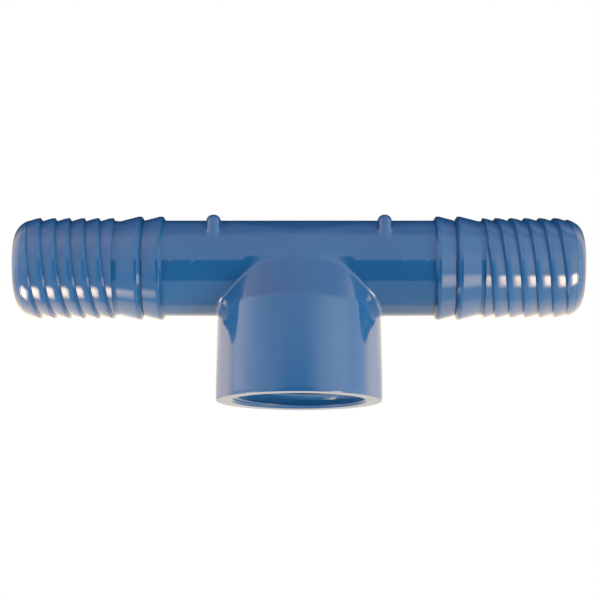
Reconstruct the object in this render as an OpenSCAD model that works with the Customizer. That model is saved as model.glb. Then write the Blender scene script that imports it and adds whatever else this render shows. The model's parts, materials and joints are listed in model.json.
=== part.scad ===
// Insert tee for flexible polyethylene irrigation pipe: two barbed spigots in line
// and a female pipe-thread branch. The run lies along X, the branch points along -Y,
// and the origin is where the two axes cross. The tee lies on its back, with +Z up.
// The real tee is one moulding. Each named region of it is a solid of its own here,
// and neighbours meet face to face. All lengths are in millimetres.

/* [Run] */
// Length from pipe end to pipe end
overall_length = 92.2; // [90:0.1:100]
// Outside diameter of the plain tube between the spigots
tube_od = 15.6; // [15.5:0.05:16]
// Diameter of the waterway through the run
waterway_d = 11.4; // [10:0.1:12]
// Distance from the branch axis to the inner end of each spigot
spigot_start = 21.6; // [20:0.1:22]

/* [Spigots] */
// Diameter of the spigot under its barbs
root_d = 15.4; // [15:0.05:15.5]
// Diameter at the crest of the ring barbs
ring_crest_d = 16.9; // [16.4:0.05:17.4]
// Width of the cylindrical land on each ring barb
ring_land = 0.4; // [0.2:0.05:0.6]
// Diameter at the crest of the spiral barbs
spiral_crest_d = 16.45; // [16:0.05:16.8]
// Axial spacing between neighbouring spiral crests
spiral_spacing = 2.35; // [2.2:0.05:2.6]
// Length of the rounded nose
nose_length = 2.6; // [2:0.1:3]

/* [Branch] */
// Distance from the run axis to the rim of the socket
rim_distance = 21.8; // [21:0.1:24]
// Outside diameter of the socket at its rim
socket_od = 26.9; // [26:0.1:29]
// Depth of the socket, measured from its rim
socket_depth = 13.4; // [12.8:0.1:13.6]
// Diameter of the port between the socket and the waterway
port_d = 10.8; // [9:0.1:11]

/* [Pipe thread] */
// Thread pitch, 14 threads per inch
thread_pitch = 1.814; // [1.5:0.001:2]
// Diameter at the thread root, at the rim
thread_root_d = 21.2; // [20.5:0.05:21.6]
// Height of the thread ridge
thread_height = 1.4; // [1:0.05:1.45]
// Diameter of the plain tapping bore below the thread
pilot_d = 17.2; // [16.5:0.1:17.3]
// Length of the plain tapping bore
pilot_length = 1.4; // [1.2:0.1:2]

/* [Nubs] */
// Distance of each pair of nubs from the branch axis
nub_offset = 13.8; // [12:0.1:16]
// Width of a nub along the run
nub_width = 2.3; // [1.5:0.1:3]

/* [Hidden] */
SIDES = ["left", "right"];
$fn = 96;

PLASTIC = [0.11, 0.38, 0.65];
PLASTIC_LIGHT = [0.20, 0.50, 0.78];
PLASTIC_DARK = [0.07, 0.28, 0.52];

tube_r = tube_od / 2;
root_r = root_d / 2;
waterway_r = waterway_d / 2;
half_length = overall_length / 2;
past = 1;                       // how far a cutter runs past the face it opens

// Each ring barb is [distance of its step foot from the branch axis, length].
ring_step = 0.5;                // axial run of the steep face
INNER_RING = [spigot_start + 0.15, 3.3];
OUTER_RING = [spigot_start + 3.6, 3.95];

// The spiral barbs are two ridges wound half a turn apart.
spiral_lead = 2 * spiral_spacing;
spiral_first = 31;              // first and last distance of a crest from the branch axis
spiral_last = 43.3;
spiral_phase_right = 63.6;      // angle where ridge a of each spigot starts
spiral_phase_left = -76.6;
steep_run = 0.8;                // axial run of the steep face, on the branch side
crest_flat = 0.24;

socket_r = socket_od / 2;
socket_top_r = socket_r - 0.15; // moulding draft
floor_distance = rim_distance - socket_depth;
shoulder_edge = 5.6;            // distance of the shoulder's outer edge from the run axis
thread_inner = floor_distance + pilot_length;
thread_taper = 1 / 32;          // change of radius for each millimetre of depth
mouth_chamfer = 0.4;

// Radius of the thread root at a distance from the run axis.
function thread_root_r(distance) = thread_root_d / 2 - thread_taper * (rim_distance - distance);

// Turns a shape drawn about Z so that its axis lies along +X.
module along_x() {
    rotate([0, 90, 0])
        children();
}

// Turns a shape drawn about Z so that its axis lies along -Y.
module along_branch() {
    rotate([90, 0, 0])
        children();
}

// Puts a shape drawn for the right spigot on the named side.
module on_side(side) {
    rotate([0, 0, side == "left" ? 180 : 0])
        children();
}

// Sweeps a closed outline of [axial, radius] points along a right-hand helix about Z,
// from turn angle "from" to "to". Its height above base_r fades in and out over fade degrees.
module helical_ridge(outline, base_r, pitch, from, to, start, step, fade, taper = 0) {
    sections = ceil((to - from) / step);
    count = len(outline);
    function angle(i) = from + (to - from) * i / sections;
    function swell(i) = max(0.12, min(1, (angle(i) - from) / fade, (to - angle(i)) / fade));
    function point(i, p) =
        let (
            z = start + pitch * (angle(i) - from) / 360,
            r = base_r + (p[1] - base_r) * swell(i) - taper * (z - start)
        )
        [r * cos(angle(i)), r * sin(angle(i)), z + p[0]];
    points = [for (i = [0:sections]) for (p = outline) point(i, p)];
    walls = [
        for (i = [0:sections - 1]) for (j = [0:count - 1])
            let (k = (j + 1) % count)
            each [
                [i * count + j, (i + 1) * count + j, (i + 1) * count + k],
                [i * count + j, (i + 1) * count + k, i * count + k]
            ]
    ];
    first_cap = [for (j = [0:count - 1]) j];
    last_cap = [for (j = [count - 1:-1:0]) sections * count + j];
    polyhedron(points, concat([first_cap, last_cap], walls), convexity = 10);
}

// The plain tube between the spigots, with the port for the branch in its wall.
module run_tube() {
    color(PLASTIC)
        difference() {
            along_x()
                cylinder(r = tube_r, h = 2 * spigot_start, center = true);
            along_x()
                cylinder(r = waterway_r, h = 2 * (spigot_start + past), center = true);
            along_branch()
                cylinder(d = port_d, h = tube_r + past);
        }
}

// The shoulder that spreads from the tube to the socket, seated on the tube's lower half.
module branch_shoulder() {
    color(PLASTIC_LIGHT)
        difference() {
            along_branch()
                rotate_extrude()
                    polygon([
                        [0, -3.2],
                        [7, -3.2],
                        [10.3, 0.2],
                        [socket_top_r, shoulder_edge],
                        [socket_top_r, floor_distance],
                        [0, floor_distance]
                    ]);
            along_x()
                cylinder(r = tube_r, h = 4 * socket_r, center = true);
            along_branch()
                cylinder(d = port_d, h = floor_distance + past);
        }
}

// The wall of the threaded socket, with its flat rim and its plain tapping bore.
module branch_socket() {
    color(PLASTIC)
        along_branch()
            rotate_extrude()
                polygon([
                    [pilot_d / 2, floor_distance],
                    [socket_top_r, floor_distance],
                    [socket_r, rim_distance],
                    [thread_root_d / 2 + mouth_chamfer, rim_distance],
                    [thread_root_r(rim_distance - mouth_chamfer), rim_distance - mouth_chamfer],
                    [thread_root_r(thread_inner), thread_inner],
                    [pilot_d / 2, thread_inner]
                ]);
}

// The tapered female thread, one right-hand ridge on the socket's wall.
module socket_thread() {
    flank = 0.78;
    crest = 0.14;
    ridge_length = rim_distance - mouth_chamfer - thread_inner - 2 * flank;
    turns = ridge_length / thread_pitch;
    color(PLASTIC_DARK)
        rotate([-90, 0, 0])
            translate([0, 0, -rim_distance + mouth_chamfer + flank])
                helical_ridge(
                    [
                        [-flank, thread_root_d / 2 - 0.05],
                        [flank, thread_root_d / 2 - 0.05],
                        [crest, thread_root_d / 2 - thread_height],
                        [-crest, thread_root_d / 2 - thread_height]
                    ],
                    base_r = thread_root_d / 2 - 0.05,
                    pitch = thread_pitch,
                    from = 0,
                    to = 360 * turns,
                    start = 0,
                    step = 12,
                    fade = 90,
                    taper = thread_taper
                );
}

// One spigot without its barbs: a plain tube with a rounded nose.
module spigot(side) {
    steps = 8;
    nose_r = root_r - waterway_r - 0.5;
    color(PLASTIC)
        on_side(side)
            along_x()
                rotate_extrude()
                    polygon(concat(
                        [[waterway_r, half_length], [waterway_r, spigot_start], [root_r, spigot_start]],
                        [
                            for (i = [0:steps])
                                let (turn = 90 * i / steps)
                                [
                                    root_r - nose_r * (1 - cos(turn)),
                                    half_length - nose_length * (1 - sin(turn))
                                ]
                        ]
                    ));
}

// One ring barb: a ramp towards the pipe end, a land, and a steep face towards the branch.
module ring_barb(side, ring) {
    crest_r = ring_crest_d / 2;
    foot = ring[0];
    color(PLASTIC_LIGHT)
        on_side(side)
            along_x()
                rotate_extrude()
                    polygon([
                        [root_r, foot],
                        [root_r, foot + ring[1]],
                        [crest_r, foot + ring_step + ring_land],
                        [crest_r, foot + ring_step]
                    ]);
}

// One of the two spiral barbs of a spigot, a saw-tooth ridge whose steep face is inward.
module spiral_barb(side, start_turn) {
    step = 10;
    base_r = root_r / cos(step / 2);
    crest_r = spiral_crest_d / 2;
    ramp_run = spiral_spacing - steep_run - crest_flat / 2 - 0.02;
    way = side == "left" ? -1 : 1;
    phase = side == "left" ? spiral_phase_left : spiral_phase_right;
    first = side == "left" ? -spiral_last : spiral_first;
    inner = [[-way * steep_run, base_r], [-way * crest_flat / 2, crest_r]];
    outer = [[way * crest_flat / 2, crest_r], [way * ramp_run, base_r]];
    outline = concat(inner, outer);
    from = phase + start_turn;
    to = from + 360 * (spiral_last - spiral_first) / spiral_lead;
    color(PLASTIC_LIGHT)
        rotate([90, 0, 90])
            helical_ridge(
                side == "left" ? outline : [for (i = [3:-1:0]) outline[i]],
                base_r = base_r,
                pitch = spiral_lead,
                from = from,
                to = to,
                start = first,
                step = step,
                fade = 60
            );
}

// A pair of small nubs on the back of the run, one above and one below, with rounded tops.
module nubs(side) {
    reach = 6.7;
    top = tube_r - 0.15;
    radius = nub_width / 2;
    color(PLASTIC_DARK)
        on_side(side)
            mirror([0, side == "left" ? 1 : 0, 0])
                difference() {
                    translate([nub_offset, 0, -reach])
                        linear_extrude(2 * reach)
                            union() {
                                translate([0, top - radius])
                                    circle(radius);
                                translate([-radius, 0])
                                    square([nub_width, top - radius]);
                            }
                    along_x()
                        cylinder(r = tube_r, h = 4 * nub_offset, center = true);
                }
}

run_tube();
branch_shoulder();
branch_socket();
socket_thread();
for (side = SIDES) {
    spigot(side);
    ring_barb(side, INNER_RING);
    ring_barb(side, OUTER_RING);
    spiral_barb(side, 0);
    spiral_barb(side, 180);
    nubs(side);
}
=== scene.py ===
"""Looks of the barbed insert tee: a glossy blue moulding lying on its back on a pale floor.

The run lies along X, the branch points along -Y and Z is up. Shapes are worked out in
millimetres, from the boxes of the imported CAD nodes, and become metres when a mesh is made.
"""

import collections
import functools
import itertools
import json
import math

import bmesh
import bpy
import numpy as np
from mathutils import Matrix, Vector


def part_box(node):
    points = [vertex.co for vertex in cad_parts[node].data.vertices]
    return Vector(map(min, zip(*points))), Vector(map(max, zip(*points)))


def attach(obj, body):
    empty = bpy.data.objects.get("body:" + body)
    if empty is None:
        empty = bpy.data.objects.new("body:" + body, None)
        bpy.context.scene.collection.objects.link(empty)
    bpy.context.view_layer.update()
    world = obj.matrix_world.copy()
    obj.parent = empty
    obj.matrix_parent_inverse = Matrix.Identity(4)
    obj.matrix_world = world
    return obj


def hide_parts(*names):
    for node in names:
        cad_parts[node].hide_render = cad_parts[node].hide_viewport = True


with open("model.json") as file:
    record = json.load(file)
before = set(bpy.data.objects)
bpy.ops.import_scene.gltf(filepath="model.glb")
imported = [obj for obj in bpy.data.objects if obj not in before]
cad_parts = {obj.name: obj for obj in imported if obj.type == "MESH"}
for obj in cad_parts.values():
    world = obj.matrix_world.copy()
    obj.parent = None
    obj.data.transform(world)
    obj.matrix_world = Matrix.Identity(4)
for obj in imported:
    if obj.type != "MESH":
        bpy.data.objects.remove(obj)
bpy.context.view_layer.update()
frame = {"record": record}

MM = 0.001
SIDES = {"right": 1, "left": -1}


# ---------------------------------------------------------------- sizes, in millimetres


def box_mm(node):
    """The lowest and the highest corner of a CAD node."""
    return [np.array(corner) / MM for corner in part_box(node)]


def mount_mm(name, size):
    """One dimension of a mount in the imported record."""
    return next(m["dims"][size] for m in frame["record"]["mounts"] if m["name"] == name)


TUBE_END, _, TUBE_R = box_mm("run_tube")[1]
HALF_LENGTH, _, ROOT_R = box_mm("right_spigot")[1]
WATERWAY_R = mount_mm("run_waterway", "r_mm")
RING_CREST_R = mount_mm("right_barb", "r_mm")
RING_LAND = mount_mm("right_barb", "length_mm")
SPIRAL_CREST_R = box_mm("right_spiral_barb_a")[1][2]

# Distances along the branch are measured from the run's axis towards the rim.
RIM = -box_mm("branch_socket")[0][1]
SOCKET_TOP = -box_mm("branch_socket")[1][1]
SOCKET_R = box_mm("branch_socket")[1][2]
SHOULDER_R = box_mm("branch_shoulder")[1][2]
PILOT_R = mount_mm("branch_thread", "r_mm")
PILOT_END = SOCKET_TOP + mount_mm("branch_thread", "length_mm")
PORT_R = 5.4                    # the port between the socket and the waterway
SOCKET_FLOOR = 0.5              # thickness of the ledge round the port
DRAFT = (SOCKET_R - SHOULDER_R) / (RIM - SOCKET_TOP)
SHOULDER_WIDTH = (12.0, 0.24)   # half size along the run at the run's axis, and its growth
SHOULDER_DEPTH = (9.2, 0.62)    # the same across the run
SHOULDER_PINCH = 0.02           # how much its diagonals draw in
SHOULDER_TOP = 4.5              # how far it reaches past the run's axis
NUB_TILT = 15                   # degrees that a nub's end faces lean back
NUB_FOOT = 4.9                  # y at which those faces meet the ends of the CAD nub
NUB_START = 2.0                 # y at which the bar begins, inside the tube
NUB_RISE = 0.25                 # the round tops stand this far above the CAD nub's
NUB_FLAT = 0.05                 # half of the flat strip between the bar's rounded corners
EJECTOR_MARK = {"x": 18.7, "y": 0.7, "r": 2.1, "step": 0.03, "edge": 0.15}

# Two surfaces of the run flow into each other where their distances differ by less than this.
SHOULDER_TOP_BLEND = 1.0
SHOULDER_EDGE_BLEND = 0.2
CREASE_BLEND = 0.35             # between shoulder and tube
CREASE_BLEND_BEHIND = 2.2       # comes on top of it over the next stretch of y
CREASE_BEHIND = (-1.5, 1.5)
CREASE_BLEND_LOW = 0.3          # and this over the next stretch of distance along the branch
CREASE_LOW = (3, 6)
NUB_BLEND = 0.3
PORT_BLEND = 0.3

THREAD_PITCH = 1.814            # 14 turns to the inch
THREAD_HEIGHT = 1.4
THREAD_HALF_ANGLE = math.radians(30)
THREAD_CREST = 0.08             # half width of the level crest
THREAD_FADE = math.radians(100)          # the ridge grows to full height over this turn
THREAD_ROOT_R = 10.6            # at the rim
THREAD_TAPER = 1 / 32           # loss of radius for each millimetre of depth
THREAD_END_TURN = math.radians(280)      # where the ridge runs out at the mouth
MOUTH_CHAMFER = 0.4
RIM_ROLL = 0.6                  # the last stretch of the socket's side leans in

# Spigot barbs. A ring barb is (distance of its foot from the branch axis, length).
RINGS = {"inner": (21.75, 3.3), "outer": (25.2, 3.95)}
RING_STEP = 0.5                 # axial run of the steep face
RING_SLOPE = 0.2586             # fall of the ramp for each millimetre along it
RING_WIDER_LAND = 0.1           # the land is this much wider than in the record
BURIED = 0.1                    # how deep a ring barb sinks into the root
SPACING = 2.37                  # between neighbouring crests of the two spiral ridges
LEAD = 2 * SPACING
SPIRAL_STEEP_RUN = 0.35         # axial run of the steep face
SPIRAL_LAND = 0.4               # width of the crest, before its edge is rounded
SPIRAL_SLOPE = 0.31             # fall of the ramp for each millimetre along it
SPIRAL_BLEND = 0.2              # rounding between crest and ramp
SPIRAL_START = 29.85            # the ridges are cut off square here
SPIRAL_SHORT = 0.6              # and here, measured back from the spigot's end
SPIRAL_STATIONS = 420
CREST_AT_TOP = {"right": 29.5, "left": -30.5}   # x of ridge a's crest at the back of the run
NOSE_START = 41.8               # centre of the nose's curve, along the run
NOSE_BASE_R = 5.45              # and away from the run's axis
NOSE_HEIGHT = 2.8               # the curve's half size across the run

TURN_STEPS = 192


# ---------------------------------------------------------------- mesh helpers


def with_bmesh(obj, edit):
    """Runs an edit on the object's mesh as a bmesh."""
    bm = bmesh.new()
    bm.from_mesh(obj.data)
    edit(bm)
    bm.to_mesh(obj.data)
    bm.free()


def mesh_object(name, points, faces):
    """A smooth-shaded mesh object from points in millimetres, with its faces turned outward."""
    mesh = bpy.data.meshes.new(name)
    mesh.from_pydata((np.asarray(points) * MM).tolist(), [], faces)
    obj = bpy.data.objects.new(name, mesh)
    bpy.context.scene.collection.objects.link(obj)
    with_bmesh(obj, lambda bm: bmesh.ops.recalc_face_normals(bm, faces=bm.faces))
    mesh.shade_smooth()
    return obj


def crisp(obj, angle=38):
    """Keeps corners sharper than the angle crisp, and lets large faces rule the shading."""
    obj.data.set_sharp_from_angle(angle=math.radians(angle))
    weighted = obj.modifiers.new("weighted_normals", "WEIGHTED_NORMAL")
    weighted.keep_sharp = True
    return obj


def cut_off(obj, point, outward):
    """Removes what lies past a plane, and closes the cut with a flat face."""

    def edit(bm):
        geometry = bm.verts[:] + bm.edges[:] + bm.faces[:]
        plane = {"plane_co": Vector(point) * MM, "plane_no": outward}
        made = bmesh.ops.bisect_plane(bm, geom=geometry, clear_outer=True, **plane)
        rim = [part for part in made["geom_cut"] if isinstance(part, bmesh.types.BMEdge)]
        bmesh.ops.triangle_fill(bm, edges=rim, use_beauty=True)
        bmesh.ops.recalc_face_normals(bm, faces=bm.faces)

    with_bmesh(obj, edit)


def loft(name, rings, closed=False):
    """A solid skinned over rings of points. It closes on itself, or has a flat face at each end."""
    rings = np.asarray(rings)
    count, size = rings.shape[:2]
    faces = []
    for i in range(count if closed else count - 1):
        this, after = i * size, (i + 1) % count * size
        for a in range(size):
            b = (a + 1) % size
            faces.append((this + a, this + b, after + b, after + a))
    if not closed:
        faces.append(tuple(range(size)))
        faces.append(tuple(range((count - 1) * size, count * size)))
    return mesh_object(name, rings.reshape(-1, 3), faces)


# Each axis is its direction, then two directions square to it that turn right-handed about it.
AXES = {
    "right": ((1, 0, 0), (0, 1, 0), (0, 0, 1)),
    "left": ((-1, 0, 0), (0, -1, 0), (0, 0, 1)),
    "branch": ((0, -1, 0), (1, 0, 0), (0, 0, 1)),
}


def ring_points(outline, axis, turn):
    """An outline of (distance along the axis, radius) points, placed at an angle round the axis."""
    along, first, second = (np.array(v, float) for v in AXES[axis])
    outward = math.cos(turn) * first + math.sin(turn) * second
    outline = np.asarray(outline)
    return outline[:, :1] * along + outline[:, 1:] * outward


def lathe(name, outline, axis):
    """A closed outline turned all the way about an axis."""
    turns = np.linspace(0, 2 * math.pi, TURN_STEPS, endpoint=False)
    return crisp(loft(name, [ring_points(outline, axis, turn) for turn in turns], closed=True))


def unit(v):
    """The vector scaled to length 1."""
    return v / np.linalg.norm(v)


def rounded(corners, steps=6):
    """A closed outline from (along, radius, fillet radius) corners, with each fillet as an arc."""
    places = [np.array(corner[:2], float) for corner in corners]
    outline = []
    for i, (corner, (*_, fillet)) in enumerate(zip(places, corners)):
        if fillet == 0:
            outline.append(corner)
            continue
        back = unit(places[i - 1] - corner)
        ahead = unit(places[(i + 1) % len(places)] - corner)
        half = math.acos(back @ ahead) / 2
        centre = corner + unit(back + ahead) * fillet / math.sin(half)
        start = corner + back * fillet / math.tan(half) - centre
        end = corner + ahead * fillet / math.tan(half) - centre
        sweep = math.pi - 2 * half
        for part in np.linspace(0, 1, steps + 1):
            spoke = math.sin((1 - part) * sweep) * start + math.sin(part * sweep) * end
            outline.append(centre + spoke / math.sin(sweep))
    return outline


# ---------------------------------------------------------------- run with shoulder and nubs


def smooth_max(a, b, blend):
    """The larger of two distances, rounded where they are within blend of each other."""
    near = np.maximum(blend - np.abs(a - b), 0) / blend
    return np.maximum(a, b) + near * near * blend / 4


def smooth_min(a, b, blend):
    """The smaller of two distances, rounded in the same way."""
    return -smooth_max(-a, -b, blend)


def smooth_step(value, low, high):
    """Goes smoothly from 0 to 1 while the value goes from low to high."""
    part = np.clip((value - low) / (high - low), 0, 1)
    return part * part * (3 - 2 * part)


def nub_distance(p, way):
    """Signed distance to one side's nubs, a rounded bar through the tube whose ends lean back."""
    low, high = box_mm("right_nubs")
    middle = (low[0] + high[0]) / 2
    half_width = (high[0] - low[0]) / 2
    top = high[1] + NUB_RISE
    radius = half_width - NUB_FLAT
    tilt = math.radians(NUB_TILT)
    x, y, z = np.moveaxis(p, -1, 0)
    past = np.stack([
        np.abs(x - way * middle) - half_width,
        np.abs(y - (top + NUB_START) / 2) - (top - NUB_START) / 2,
        (np.abs(z) - high[2]) * math.cos(tilt) + (y - NUB_FOOT) * math.sin(tilt),
    ], -1) + radius
    return np.linalg.norm(np.maximum(past, 0), axis=-1) + np.minimum(past.max(-1), 0) - radius


def shoulder_distance(x, down, z):
    """Signed distance to a cone of oval section that flares from the run's axis to the socket."""
    (width, wider), (depth, deeper) = SHOULDER_WIDTH, SHOULDER_DEPTH
    least_half, least_square, least_slope = 1, 1, 0.01
    half_x = np.maximum(width + wider * down, least_half)
    half_z = depth + deeper * down
    diagonal = 2 * x * z / np.maximum(x * x + z * z, least_square)
    near = np.hypot(x / half_x, z / half_z) * (1 + SHOULDER_PINCH * diagonal**2)
    slope = np.hypot(x / half_x**2, z / half_z**2)
    across = near * (near - 1) / np.maximum(slope, least_slope)
    cone = across / math.hypot(1, (wider + deeper) / 2)
    return smooth_max(cone, -down - SHOULDER_TOP, SHOULDER_TOP_BLEND)


def run_distance(p):
    """Signed distance to the surface of the tube, its shoulder and its nubs, in millimetres."""
    x, y, z = np.moveaxis(p, -1, 0)
    down = -y
    mark = np.hypot(np.abs(x) - EJECTOR_MARK["x"], y - EJECTOR_MARK["y"]) - EJECTOR_MARK["r"]
    edge = EJECTOR_MARK["edge"]
    sunk = EJECTOR_MARK["step"] * smooth_step(-mark, -edge, edge) * (z > 0)
    tube = np.hypot(y, z) - TUBE_R + sunk
    from_branch_axis = np.hypot(x, z)
    side = from_branch_axis - SHOULDER_R - DRAFT * (down - SOCKET_TOP)
    shoulder = smooth_max(shoulder_distance(x, down, z), side, SHOULDER_EDGE_BLEND)
    behind = smooth_step(y, *CREASE_BEHIND)
    low = smooth_step(down, *CREASE_LOW)
    blend = CREASE_BLEND + CREASE_BLEND_BEHIND * behind + CREASE_BLEND_LOW * low
    body = smooth_min(tube, shoulder, blend)
    for way in SIDES.values():
        body = smooth_min(body, nub_distance(p, way), NUB_BLEND)
    waterway = WATERWAY_R - np.hypot(y, z)
    port = np.minimum(PORT_R - from_branch_axis, down)
    return np.maximum(body, smooth_max(waterway, port, PORT_BLEND))


def gradient(distance, p, reach=0.01):
    """Direction in which a distance grows fastest at each point."""
    steps = reach * np.eye(3)
    return np.stack([distance(p + s) - distance(p - s) for s in steps], -1) / (2 * reach)


def surface_net(distance, low, high, cell):
    """Points and quads of the surface where the distance is zero.

    Each cell of the grid that the surface crosses gets one point.
    """
    axes = [np.arange(a, b + cell, cell) for a, b in zip(low, high)]
    corners = np.stack(np.meshgrid(*axes, indexing="ij"), -1)
    inside = distance(corners) < 0
    cells = np.array(inside.shape) - 1

    def shifted(grid, shift):
        return grid[tuple(slice(s, s + n) for s, n in zip(shift, cells))]

    filled = sum(shifted(inside, s).astype(int) for s in itertools.product((0, 1), repeat=3))
    crossed = (filled > 0) & (filled < 2**3)
    number = np.full(crossed.shape, -1)
    number[crossed] = np.arange(crossed.sum())
    points = shifted(corners, (0, 0, 0))[crossed] + cell / 2

    quads = []
    for axis in range(3):
        one, two = (a for a in range(3) if a != axis)
        ahead = np.eye(3, dtype=int)[axis]
        change = shifted(inside, (0, 0, 0)) != shifted(inside, ahead)
        where = np.argwhere(change)
        where = where[(where[:, one] > 0) & (where[:, two] > 0)]
        around = []
        for back_one, back_two in ((0, 0), (1, 0), (1, 1), (0, 1)):
            cell_at = where.copy()
            cell_at[:, one] -= back_one
            cell_at[:, two] -= back_two
            around.append(number[tuple(cell_at.T)])
        quads.append(np.stack(around, -1))
    return points, np.concatenate(quads)


def settle(distance, p, rounds=4):
    """Moves points onto the surface where the distance is zero."""
    least_steep = 0.1
    for _ in range(rounds):
        slope = gradient(distance, p)
        steep = np.maximum((slope**2).sum(-1, keepdims=True), least_steep)
        p = p - distance(p)[..., None] * slope / steep
    return p


def run_with_shoulder():
    """The tube, its shoulder and its nubs as one flowing surface, cut where neighbours begin."""
    past = 0.6
    reach = TUBE_END + past
    low = (-reach, -SOCKET_TOP - past, -SHOULDER_R - past)
    high = (reach, TUBE_R + past, SHOULDER_R + past)
    points, quads = surface_net(run_distance, low, high, cell=0.25)
    obj = mesh_object("run_with_shoulder", settle(run_distance, points), quads.tolist())
    cut_off(obj, (TUBE_END, 0, 0), (1, 0, 0))
    cut_off(obj, (-TUBE_END, 0, 0), (-1, 0, 0))
    cut_off(obj, (0, -SOCKET_TOP, 0), (0, -1, 0))
    mesh = obj.data
    mesh.shade_smooth()
    places = np.array([v.co for v in mesh.vertices]) / MM
    normals = gradient(run_distance, places)
    mesh.normals_split_custom_set_from_vertices(normals / np.linalg.norm(normals, axis=1)[:, None])
    return obj


# ---------------------------------------------------------------- branch socket and its thread


def thread_root_r(down):
    """Radius of the thread's root at a distance from the run's axis."""
    return THREAD_ROOT_R - THREAD_TAPER * (RIM - down)


def branch_socket():
    """The socket's wall with its flat rim, chamfered mouth, thread root and tapping bore."""
    chamfer_end = RIM - MOUTH_CHAMFER
    ledge = SOCKET_TOP + SOCKET_FLOOR
    return lathe(
        "branch_socket",
        rounded([
            (SOCKET_TOP, PORT_R, 0),
            (SOCKET_TOP, SHOULDER_R, 0),
            (RIM - RIM_ROLL, SOCKET_R, 0.1),
            (RIM, SOCKET_R - RIM_ROLL / 6, 0.12),
            (RIM, THREAD_ROOT_R + MOUTH_CHAMFER, 0.12),
            (chamfer_end, thread_root_r(chamfer_end), 0.1),
            (PILOT_END, thread_root_r(PILOT_END), 0),
            (PILOT_END, PILOT_R, 0.15),
            (ledge, PILOT_R, 0.15),
            (ledge, PORT_R, 0.1),
        ]),
        "branch",
    )


def socket_thread():
    """A right-hand tapered vee ridge, worn down to nothing by the mouth's chamfer."""
    least_height = 0.05
    crest_rounding = 0.07
    sunk = 0.1
    chamfer_end = RIM - MOUTH_CHAMFER
    first = PILOT_END + 1
    last = chamfer_end - least_height
    total = 2 * math.pi * (last - first) / THREAD_PITCH
    stations = int(total / math.radians(4))
    rings = []
    for turn in np.linspace(0, total, stations):
        middle = first + THREAD_PITCH * turn / (2 * math.pi)
        grown = THREAD_HEIGHT * turn / THREAD_FADE
        height = max(least_height, min(THREAD_HEIGHT, grown, chamfer_end - middle))
        half_width = height * math.tan(THREAD_HALF_ANGLE) + THREAD_CREST
        root = thread_root_r(middle)
        section = rounded([
            (middle - half_width, root + sunk, 0),
            (middle - THREAD_CREST, root - height, crest_rounding),
            (middle + THREAD_CREST, root - height, crest_rounding),
            (middle + half_width, root + sunk, 0),
        ], steps=3)
        rings.append(ring_points(section, "branch", turn - total + THREAD_END_TURN))
    return crisp(loft("socket_thread", rings), angle=30)


# ---------------------------------------------------------------- spigots and their barbs


def nose_r(along):
    """Radius of the rounded nose at a distance from the branch axis."""
    part = np.clip((np.asarray(along, float) - NOSE_START) / (HALF_LENGTH - NOSE_START), 0, 1)
    return NOSE_BASE_R + NOSE_HEIGHT * np.sqrt(1 - part * part)


def spigot(side):
    """The plain spigot: a collar level with the tube, the root under the barbs, and the nose."""
    collar_end = RINGS["inner"][0] + RING_STEP / 2
    outline = [
        (TUBE_END, WATERWAY_R),
        (TUBE_END, TUBE_R),
        (collar_end, TUBE_R),
        (collar_end, ROOT_R),
    ]
    nose_from = math.acos((ROOT_R - NOSE_BASE_R) / NOSE_HEIGHT)
    nose_to = math.acos((WATERWAY_R - NOSE_BASE_R) / NOSE_HEIGHT)
    nose_points = 20
    for turn in np.linspace(nose_from, nose_to, nose_points):
        along = NOSE_START + (HALF_LENGTH - NOSE_START) * math.sin(turn)
        outline.append((along, NOSE_BASE_R + NOSE_HEIGHT * math.cos(turn)))
    return lathe(f"{side}_spigot", outline, side)


def ring_barb(side, ring):
    """A steep face towards the branch, a narrow land and a long ramp towards the pipe end."""
    foot, length = RINGS[ring]
    height = RING_CREST_R - ROOT_R
    crest = foot + RING_STEP
    land = RING_LAND + RING_WIDER_LAND
    ramp_end = RING_CREST_R - RING_SLOPE * (length - RING_STEP - land)
    outline = rounded([
        (foot - RING_STEP * BURIED / height, ROOT_R - BURIED, 0),
        (crest, RING_CREST_R, 0.12),
        (crest + land, RING_CREST_R, 0.6),
        (foot + length, ramp_end, 0),
        (foot + length, ROOT_R - BURIED, 0),
    ])
    return lathe(f"{side}_{ring}_ring_barb", outline, side)


def spiral_barb(side, letter):
    """A saw-tooth ridge wound about the spigot, cut off square inward and sinking into the nose."""
    way = SIDES[side]
    offset = 0 if letter == "a" else way * SPACING
    height = SPIRAL_CREST_R - ROOT_R
    under_nose = 0.01
    base_r = WATERWAY_R + 0.4
    # Places along the saw tooth, measured from its crest: close together where it is rounded.
    across = np.concatenate([
        np.linspace(-SPIRAL_STEEP_RUN - 0.1, -0.08, 5),
        np.linspace(-0.04, 2 * SPIRAL_LAND, 16),
        np.linspace(2 * SPIRAL_LAND + 0.2, SPACING, 5),
    ])
    face = SPIRAL_CREST_R + height * across / SPIRAL_STEEP_RUN
    ramp = SPIRAL_CREST_R - SPIRAL_SLOPE * (across - SPIRAL_LAND)
    profile = np.minimum(face, smooth_min(ramp, SPIRAL_CREST_R, SPIRAL_BLEND))
    rings = []
    for crest in np.linspace(SPIRAL_START - SPACING, HALF_LENGTH, SPIRAL_STATIONS):
        turn = 2 * math.pi * (way * crest - CREST_AT_TOP[side] - offset) / LEAD
        along = crest + across
        radius = np.minimum(profile, nose_r(along) - under_nose)
        tooth = np.stack([along, radius], -1)
        base = [(along[-1], base_r), (along[0], base_r)]
        section = np.concatenate([tooth, base]) * (way, 1)
        rings.append(ring_points(section, "right", turn))
    obj = loft(f"{side}_spiral_barb_{letter}", rings)
    cut_off(obj, (way * SPIRAL_START, 0, 0), (-way, 0, 0))
    cut_off(obj, (way * (HALF_LENGTH - SPIRAL_SHORT), 0, 0), (way, 0, 0))
    obj.data.shade_smooth()
    return crisp(obj)


# ---------------------------------------------------------------- materials


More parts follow.
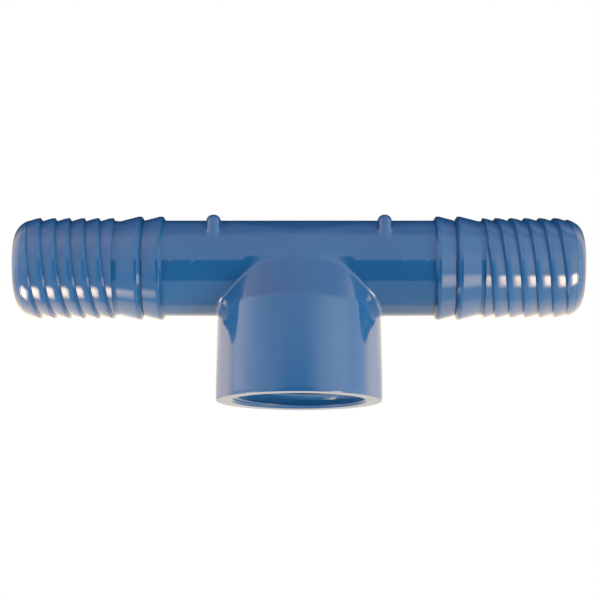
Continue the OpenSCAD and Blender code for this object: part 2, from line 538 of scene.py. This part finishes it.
PLASTIC_BLUES = ((0.0084, 0.0655, 0.207), (0.0102, 0.0740, 0.226))
PLASTIC_ROUGHNESS = (0.06, 0.11)
PLASTIC_IOR = 1.52
POLISH_STRENGTH = 0.12
POLISH_DEPTH = 0.02             # in millimetres

# Noise scales of the plastic, in waves per metre, and the range that the noise usually keeps to.
CLOUDS = 90
GLOSS_CLOUDS = 160
POLISH = 1500
NOISE_RANGE = (0.3, 0.7)


def nodes_of(name):
    """A new material's node tree, and its shader."""
    material = bpy.data.materials.new(name)
    material.use_nodes = True
    tree = material.node_tree
    return material, tree, tree.nodes["Principled BSDF"]


def noise(tree, scale, detail=2.0):
    """Noise over the object's own coordinates."""
    coordinates = tree.nodes.new("ShaderNodeTexCoord")
    texture = tree.nodes.new("ShaderNodeTexNoise")
    texture.inputs["Scale"].default_value = scale
    texture.inputs["Detail"].default_value = detail
    tree.links.new(coordinates.outputs["Object"], texture.inputs["Vector"])
    return texture.outputs["Fac"]


def spread(tree, value, low, high):
    """A noise value stretched from its usual range to low..high."""
    node = tree.nodes.new("ShaderNodeMapRange")
    node.inputs["From Min"].default_value = NOISE_RANGE[0]
    node.inputs["From Max"].default_value = NOISE_RANGE[1]
    node.inputs["To Min"].default_value = low
    node.inputs["To Max"].default_value = high
    tree.links.new(value, node.inputs["Value"])
    return node.outputs["Result"]


def moulded_plastic():
    """Glossy blue injection-moulded plastic: faint clouds of colour and the mould's fine polish."""
    material, tree, shader = nodes_of("moulded_blue_plastic")
    mix = tree.nodes.new("ShaderNodeMix")
    mix.data_type = "RGBA"
    for socket, blue in zip("AB", PLASTIC_BLUES):
        mix.inputs[socket].default_value = (*blue, 1)
    tree.links.new(spread(tree, noise(tree, CLOUDS, detail=3), 0, 1), mix.inputs["Factor"])
    tree.links.new(mix.outputs["Result"], shader.inputs["Base Color"])
    gloss = spread(tree, noise(tree, GLOSS_CLOUDS), *PLASTIC_ROUGHNESS)
    tree.links.new(gloss, shader.inputs["Roughness"])
    shader.inputs["IOR"].default_value = PLASTIC_IOR
    bump = tree.nodes.new("ShaderNodeBump")
    bump.inputs["Strength"].default_value = POLISH_STRENGTH
    bump.inputs["Distance"].default_value = POLISH_DEPTH * MM
    tree.links.new(noise(tree, POLISH), bump.inputs["Height"])
    tree.links.new(bump.outputs["Normal"], shader.inputs["Normal"])
    return material


# ---------------------------------------------------------------- light

# A ramp takes a value from start to end, smoothly, while what it depends on goes from low to high.
Ramp = collections.namedtuple("Ramp", "low high start end", defaults=(0, 1))

# The light that comes from each direction. A name says what its ramps depend on: X, Y and Z are
# parts of the direction, FORWARD is its angle from straight up towards the branch side, and
# SIDEWAYS its angle towards the right, both in degrees.
LAMP_STRENGTH = 28.0
LAMP_COLOUR = (1, 0.74, 0.5)
LEFT_LAMP_X = (Ramp(-0.68, -0.45, 1, 0), Ramp(-0.86, -0.74))
LEFT_LAMP_FORWARD = (Ramp(61, 77), Ramp(90, 106, 1, 0))
RIGHT_LAMP_DIM_PART_X = Ramp(0.46, 0.54, 0, 0.16)
RIGHT_LAMP_BRIGHT_PART_X = Ramp(0.59, 0.68, 0, 0.84)
RIGHT_LAMP_END_X = Ramp(0.80, 0.88, 1, 0)
RIGHT_LAMP_FORWARD = (Ramp(22, 35), Ramp(50, 64, 1, 0))

ROOF_COLOUR = (0.97, 1, 0.98)
ROOF_FORWARD = Ramp(-9, 40, 1.35, 0.85)
ROOF_LOSS_Y = Ramp(0.5, 0.9)
ROOF_LOSS_Z = Ramp(0.0, 0.42, 0.6, 0)
WALL_COLOUR = (1, 0.86, 0.56)
RIGHT_WALL_SIDEWAYS = Ramp(5, 60, 0, 1.4)
RIGHT_WALL_FORWARD = Ramp(-45, -12, 0.4, 1)
LEFT_WALL_SIDEWAYS = Ramp(-85, -30, 1.4, 0)
HAZE_COLOUR = (1, 0.65, 0.70)
HAZE_FORWARD = Ramp(-60, -20, 0.6, 0)
HAZE_SIDEWAYS = Ramp(-38, -8, 1, 0)
OPENING_FORWARD = (Ramp(-12, -6), Ramp(39.5, 42.5, 1, 0))
OPENING_SIDEWAYS = (Ramp(-40, -14), Ramp(8, 34, 1, 0))

# The light painted on the floor, as it comes up from each place on it, in millimetres.
FLOOR_FAR = Ramp(50, 220)                   # by distance from the middle of the tee
# Painted shadow of the tee on the floor: a dark fan behind the run, from this y on.
FLOOR_SHADOW_BEHIND_Y = Ramp(2, 9)
FLOOR_SHADOW_FAN = 0.4                             # how fast the painted shadow's dark fan behind the run widens
FLOOR_SHADOW_FAN_EDGE = Ramp(45, 75, 1, 0)
RIM_PATCH_Y = -20                           # middle of the painted shade patch in front of the rim
RIM_PATCH_FLATNESS = 0.3
RIM_PATCH_SHADE = Ramp(8, 20, 0.7, 1)       # by distance from that middle, as is the next
NEAR_GLOW = Ramp(15, 60, 1, 0)
SIDE_GLOW = Ramp(18, 60)                    # by distance from the middle, along the run
BACK_GLOW_Y = Ramp(18, 60, 0.02, 0.32)
# Colours of the light painted on the floor: its even glow, then painted warm pools in front, at the
# sides and far behind.
FLOOR_LIGHT_COLOUR = (0.60, 0.60, 0.48)
NEAR_GLOW_COLOUR = (1.00, 0.78, 0.58)
SIDE_GLOW_COLOUR = (2.30, 1.45, 0.70)
BACK_GLOW_COLOUR = (1.00, 1.00, 1.00)
REFLECTED_FROM = (-38, -5, 6)               # the floor paints the tent's light and its lamps as seen from here


class Formula:
    """Arithmetic on a direction or a place in a node tree, so that light reads as a formula."""

    def __init__(self, tree, vector):
        self.tree = tree
        split = tree.nodes.new("ShaderNodeSeparateXYZ")
        tree.links.new(vector, split.inputs["Vector"])
        self.x, self.y, self.z = (split.outputs[axis] for axis in "XYZ")

    def math(self, operation, *values):
        node = self.tree.nodes.new("ShaderNodeMath")
        node.operation = operation
        for socket, value in zip(node.inputs, values):
            if isinstance(value, (int, float)):
                socket.default_value = value
            else:
                self.tree.links.new(value, socket)
        return node.outputs["Value"]

    def product(self, *values):
        """All the values multiplied."""
        return functools.reduce(lambda a, b: self.math("MULTIPLY", a, b), values)

    def one_minus(self, value):
        """What is left of 1 after the value."""
        return self.math("SUBTRACT", 1, value)

    def length(self, square_a, square_b):
        """The square root of the sum of two squares."""
        return self.math("SQRT", self.math("ADD", square_a, square_b))

    def ramp(self, value, *ramps):
        """The product of the ramps that depend on the value."""
        results = []
        for ramp in ramps:
            node = self.tree.nodes.new("ShaderNodeMapRange")
            node.interpolation_type = "SMOOTHSTEP"
            self.tree.links.new(value, node.inputs["Value"])
            node.inputs["From Min"].default_value = ramp.low
            node.inputs["From Max"].default_value = ramp.high
            node.inputs["To Min"].default_value = ramp.start
            node.inputs["To Max"].default_value = ramp.end
            results.append(node.outputs["Result"])
        return self.product(*results)

    def forward(self):
        """Angle in degrees from straight up towards the branch side."""
        return self.math("DEGREES", self.math("ARCTAN2", self.math("MULTIPLY", self.y, -1), self.z))

    def lamps(self):
        """Strength of the two lamps, one low at the left and one higher at the right."""
        forward = self.forward()
        left = self.product(
            self.ramp(self.x, *LEFT_LAMP_X), self.ramp(forward, *LEFT_LAMP_FORWARD)
        )
        dim_part = self.ramp(self.x, RIGHT_LAMP_DIM_PART_X)
        bright_part = self.ramp(self.x, RIGHT_LAMP_BRIGHT_PART_X)
        right = self.product(
            self.math("ADD", dim_part, bright_part),
            self.ramp(self.x, RIGHT_LAMP_END_X),
            self.ramp(forward, *RIGHT_LAMP_FORWARD),
        )
        return self.product(self.math("ADD", left, right), LAMP_STRENGTH)

    def tent(self):
        """Glows of a soft tent, each a colour and its strength.

        The tent has an unlit opening round the camera, warm walls, and a pink haze behind left.
        """
        forward = self.forward()
        sideways = self.math("DEGREES", self.math("ARCSINE", self.x))
        opening = self.product(
            self.ramp(forward, *OPENING_FORWARD), self.ramp(sideways, *OPENING_SIDEWAYS)
        )
        shown = self.one_minus(opening)
        roof_loss = self.product(self.ramp(self.y, ROOF_LOSS_Y), self.ramp(self.z, ROOF_LOSS_Z))
        roof = self.product(self.ramp(forward, ROOF_FORWARD), self.one_minus(roof_loss), shown)
        right_wall = self.product(
            self.ramp(sideways, RIGHT_WALL_SIDEWAYS), self.ramp(forward, RIGHT_WALL_FORWARD)
        )
        left_wall = self.ramp(sideways, LEFT_WALL_SIDEWAYS)
        walls = self.product(self.math("ADD", right_wall, left_wall), shown)
        haze = self.product(self.ramp(forward, HAZE_FORWARD), self.ramp(sideways, HAZE_SIDEWAYS))
        return [(ROOF_COLOUR, roof), (WALL_COLOUR, walls), (HAZE_COLOUR, haze)]

    def shine(self, *glows):
        """A shader that adds up glows, each a colour and its strength."""
        shaders = []
        for colour, strength in glows:
            node = self.tree.nodes.new("ShaderNodeEmission")
            node.inputs["Color"].default_value = (*colour, 1)
            self.tree.links.new(strength, node.inputs["Strength"])
            shaders.append(node.outputs["Emission"])
        total = shaders[0]
        for shader in shaders[1:]:
            both = self.tree.nodes.new("ShaderNodeAddShader")
            self.tree.links.new(total, both.inputs[0])
            self.tree.links.new(shader, both.inputs[1])
            total = both.outputs["Shader"]
        return total


def vector_math(tree, operation, vector, constant):
    """One operation on a vector, with a fixed vector as the second value."""
    node = tree.nodes.new("ShaderNodeVectorMath")
    node.operation = operation
    tree.links.new(vector, node.inputs[0])
    node.inputs[1].default_value = constant
    return node.outputs["Vector"]


def floor_material():
    """A sheet that the camera sees as clean white, and that lights the tee from below in patches.

    Its light is painted in patches: a painted shadow behind the run, painted shade in front of
    the rim, a painted warm glow in front of it and brighter painted glows at both sides. Further
    out it paints the tent's light, and it carries painted lamps on where it hides them.
    """
    material, tree, shader = nodes_of("pale_floor")
    tree.nodes.remove(shader)
    place = tree.nodes.new("ShaderNodeTexCoord").outputs["Object"]
    at = Formula(tree, vector_math(tree, "DIVIDE", place, (MM, MM, MM)))
    out = at.math("ABSOLUTE", at.x)
    far = at.ramp(at.length(at.product(at.x, at.x), at.product(at.y, at.y)), FLOOR_FAR)
    close = at.one_minus(far)
    # Painted shadow of the tee: the floor's light is taken away in a fan behind the run.
    shadow_fan = at.math("SUBTRACT", out, at.product(at.y, FLOOR_SHADOW_FAN))
    behind = at.product(at.ramp(at.y, FLOOR_SHADOW_BEHIND_Y), at.ramp(shadow_fan, FLOOR_SHADOW_FAN_EDGE))
    in_front = at.math("SUBTRACT", at.y, RIM_PATCH_Y)
    from_patch = at.length(
        at.product(in_front, in_front), at.product(out, out, RIM_PATCH_FLATNESS)
    )
    # The floor's painted light, less the painted shadow behind the run and the painted shade in
    # front of the rim.
    lit = at.product(close, at.one_minus(behind), at.ramp(from_patch, RIM_PATCH_SHADE))
    # Painted pools of warm light in front of the rim and at both sides, and a faint painted glow
    # far behind.
    near = at.product(lit, at.ramp(from_patch, NEAR_GLOW))
    side_light = at.product(lit, at.ramp(out, SIDE_GLOW))
    back = at.product(behind, close, at.ramp(at.y, BACK_GLOW_Y))
    # Further out the floor paints the tent's light, and the lamps where the floor hides them, as
    # seen from REFLECTED_FROM.
    start = [MM * part for part in REFLECTED_FROM]
    away = vector_math(tree, "SUBTRACT", place, start)
    seen = Formula(tree, vector_math(tree, "NORMALIZE", away, (0, 0, 0)))
    lit_floor = at.shine(
        (FLOOR_LIGHT_COLOUR, lit),
        (NEAR_GLOW_COLOUR, near),
        (SIDE_GLOW_COLOUR, side_light),
        (BACK_GLOW_COLOUR, back),
        *((colour, at.product(far, strength)) for colour, strength in seen.tent()),
        (LAMP_COLOUR, seen.lamps()),
    )
    white = tree.nodes.new("ShaderNodeEmission")
    white.inputs["Color"].default_value = (1, 1, 1, 1)
    path = tree.nodes.new("ShaderNodeLightPath")
    choose = tree.nodes.new("ShaderNodeMixShader")
    tree.links.new(path.outputs["Is Camera Ray"], choose.inputs["Fac"])
    tree.links.new(lit_floor, choose.inputs[1])
    tree.links.new(white.outputs["Emission"], choose.inputs[2])
    tree.links.new(choose.outputs["Shader"], tree.nodes["Material Output"].inputs["Surface"])
    return material


# ---------------------------------------------------------------- studio


def studio_floor():
    """A square sheet that touches the lowest point of the tee."""
    half = 1500
    z = box_mm("branch_socket")[0][2]
    points = [(-half, -half, z), (half, -half, z), (half, half, z), (-half, half, z)]
    floor = mesh_object("studio_floor", points, [(0, 1, 2, 3)])
    floor.data.materials.append(floor_material())


def studio_camera():
    """Looks down on the tee from a little to the branch side and a little to the right.

    The camera isn't turned to the right: the picture is shifted instead. Lengths are in metres.
    """
    tilt = math.radians(9.9)
    distance = 0.285
    aside = 0.0045
    width = 0.0977                  # of what the picture shows, at the target
    target = Vector((0.0001, -0.00525, 0))
    data = bpy.data.cameras.new("studio_camera")
    data.lens = data.sensor_width * distance / width
    data.shift_x = -aside / width
    camera = bpy.data.objects.new("studio_camera", data)
    away = Vector((aside, -distance * math.sin(tilt), distance * math.cos(tilt)))
    camera.location = target + away
    camera.rotation_euler = (tilt, 0, 0)
    bpy.context.scene.collection.objects.link(camera)
    bpy.context.scene.camera = camera


def light_tent():
    """The tent and its two lamps, all round the tee."""
    world = bpy.data.worlds.new("light_tent")
    bpy.context.scene.world = world
    world.use_nodes = True
    tree = world.node_tree
    sky = Formula(tree, tree.nodes.new("ShaderNodeTexCoord").outputs["Generated"])
    light = sky.shine(*sky.tent(), (LAMP_COLOUR, sky.lamps()))
    tree.links.new(light, tree.nodes["World Output"].inputs["Surface"])


# ---------------------------------------------------------------- assembly


def finish_piece(obj, material, *cad_nodes):
    """Gives a piece its material and its body, and hides the CAD nodes it stands for."""
    obj.data.materials.append(material)
    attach(obj, "root")
    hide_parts(*cad_nodes)


plastic = moulded_plastic()
finish_piece(
    run_with_shoulder(), plastic, "run_tube", "branch_shoulder", "left_nubs", "right_nubs"
)
finish_piece(branch_socket(), plastic, "branch_socket")
finish_piece(socket_thread(), plastic, "socket_thread")
for side in SIDES:
    finish_piece(spigot(side), plastic, f"{side}_spigot")
    for ring in RINGS:
        finish_piece(ring_barb(side, ring), plastic, f"{side}_{ring}_ring_barb")
    for letter in "ab":
        finish_piece(spiral_barb(side, letter), plastic, f"{side}_spiral_barb_{letter}")

studio_floor()
studio_camera()
light_tent()
bpy.context.scene.view_settings.view_transform = "Standard"
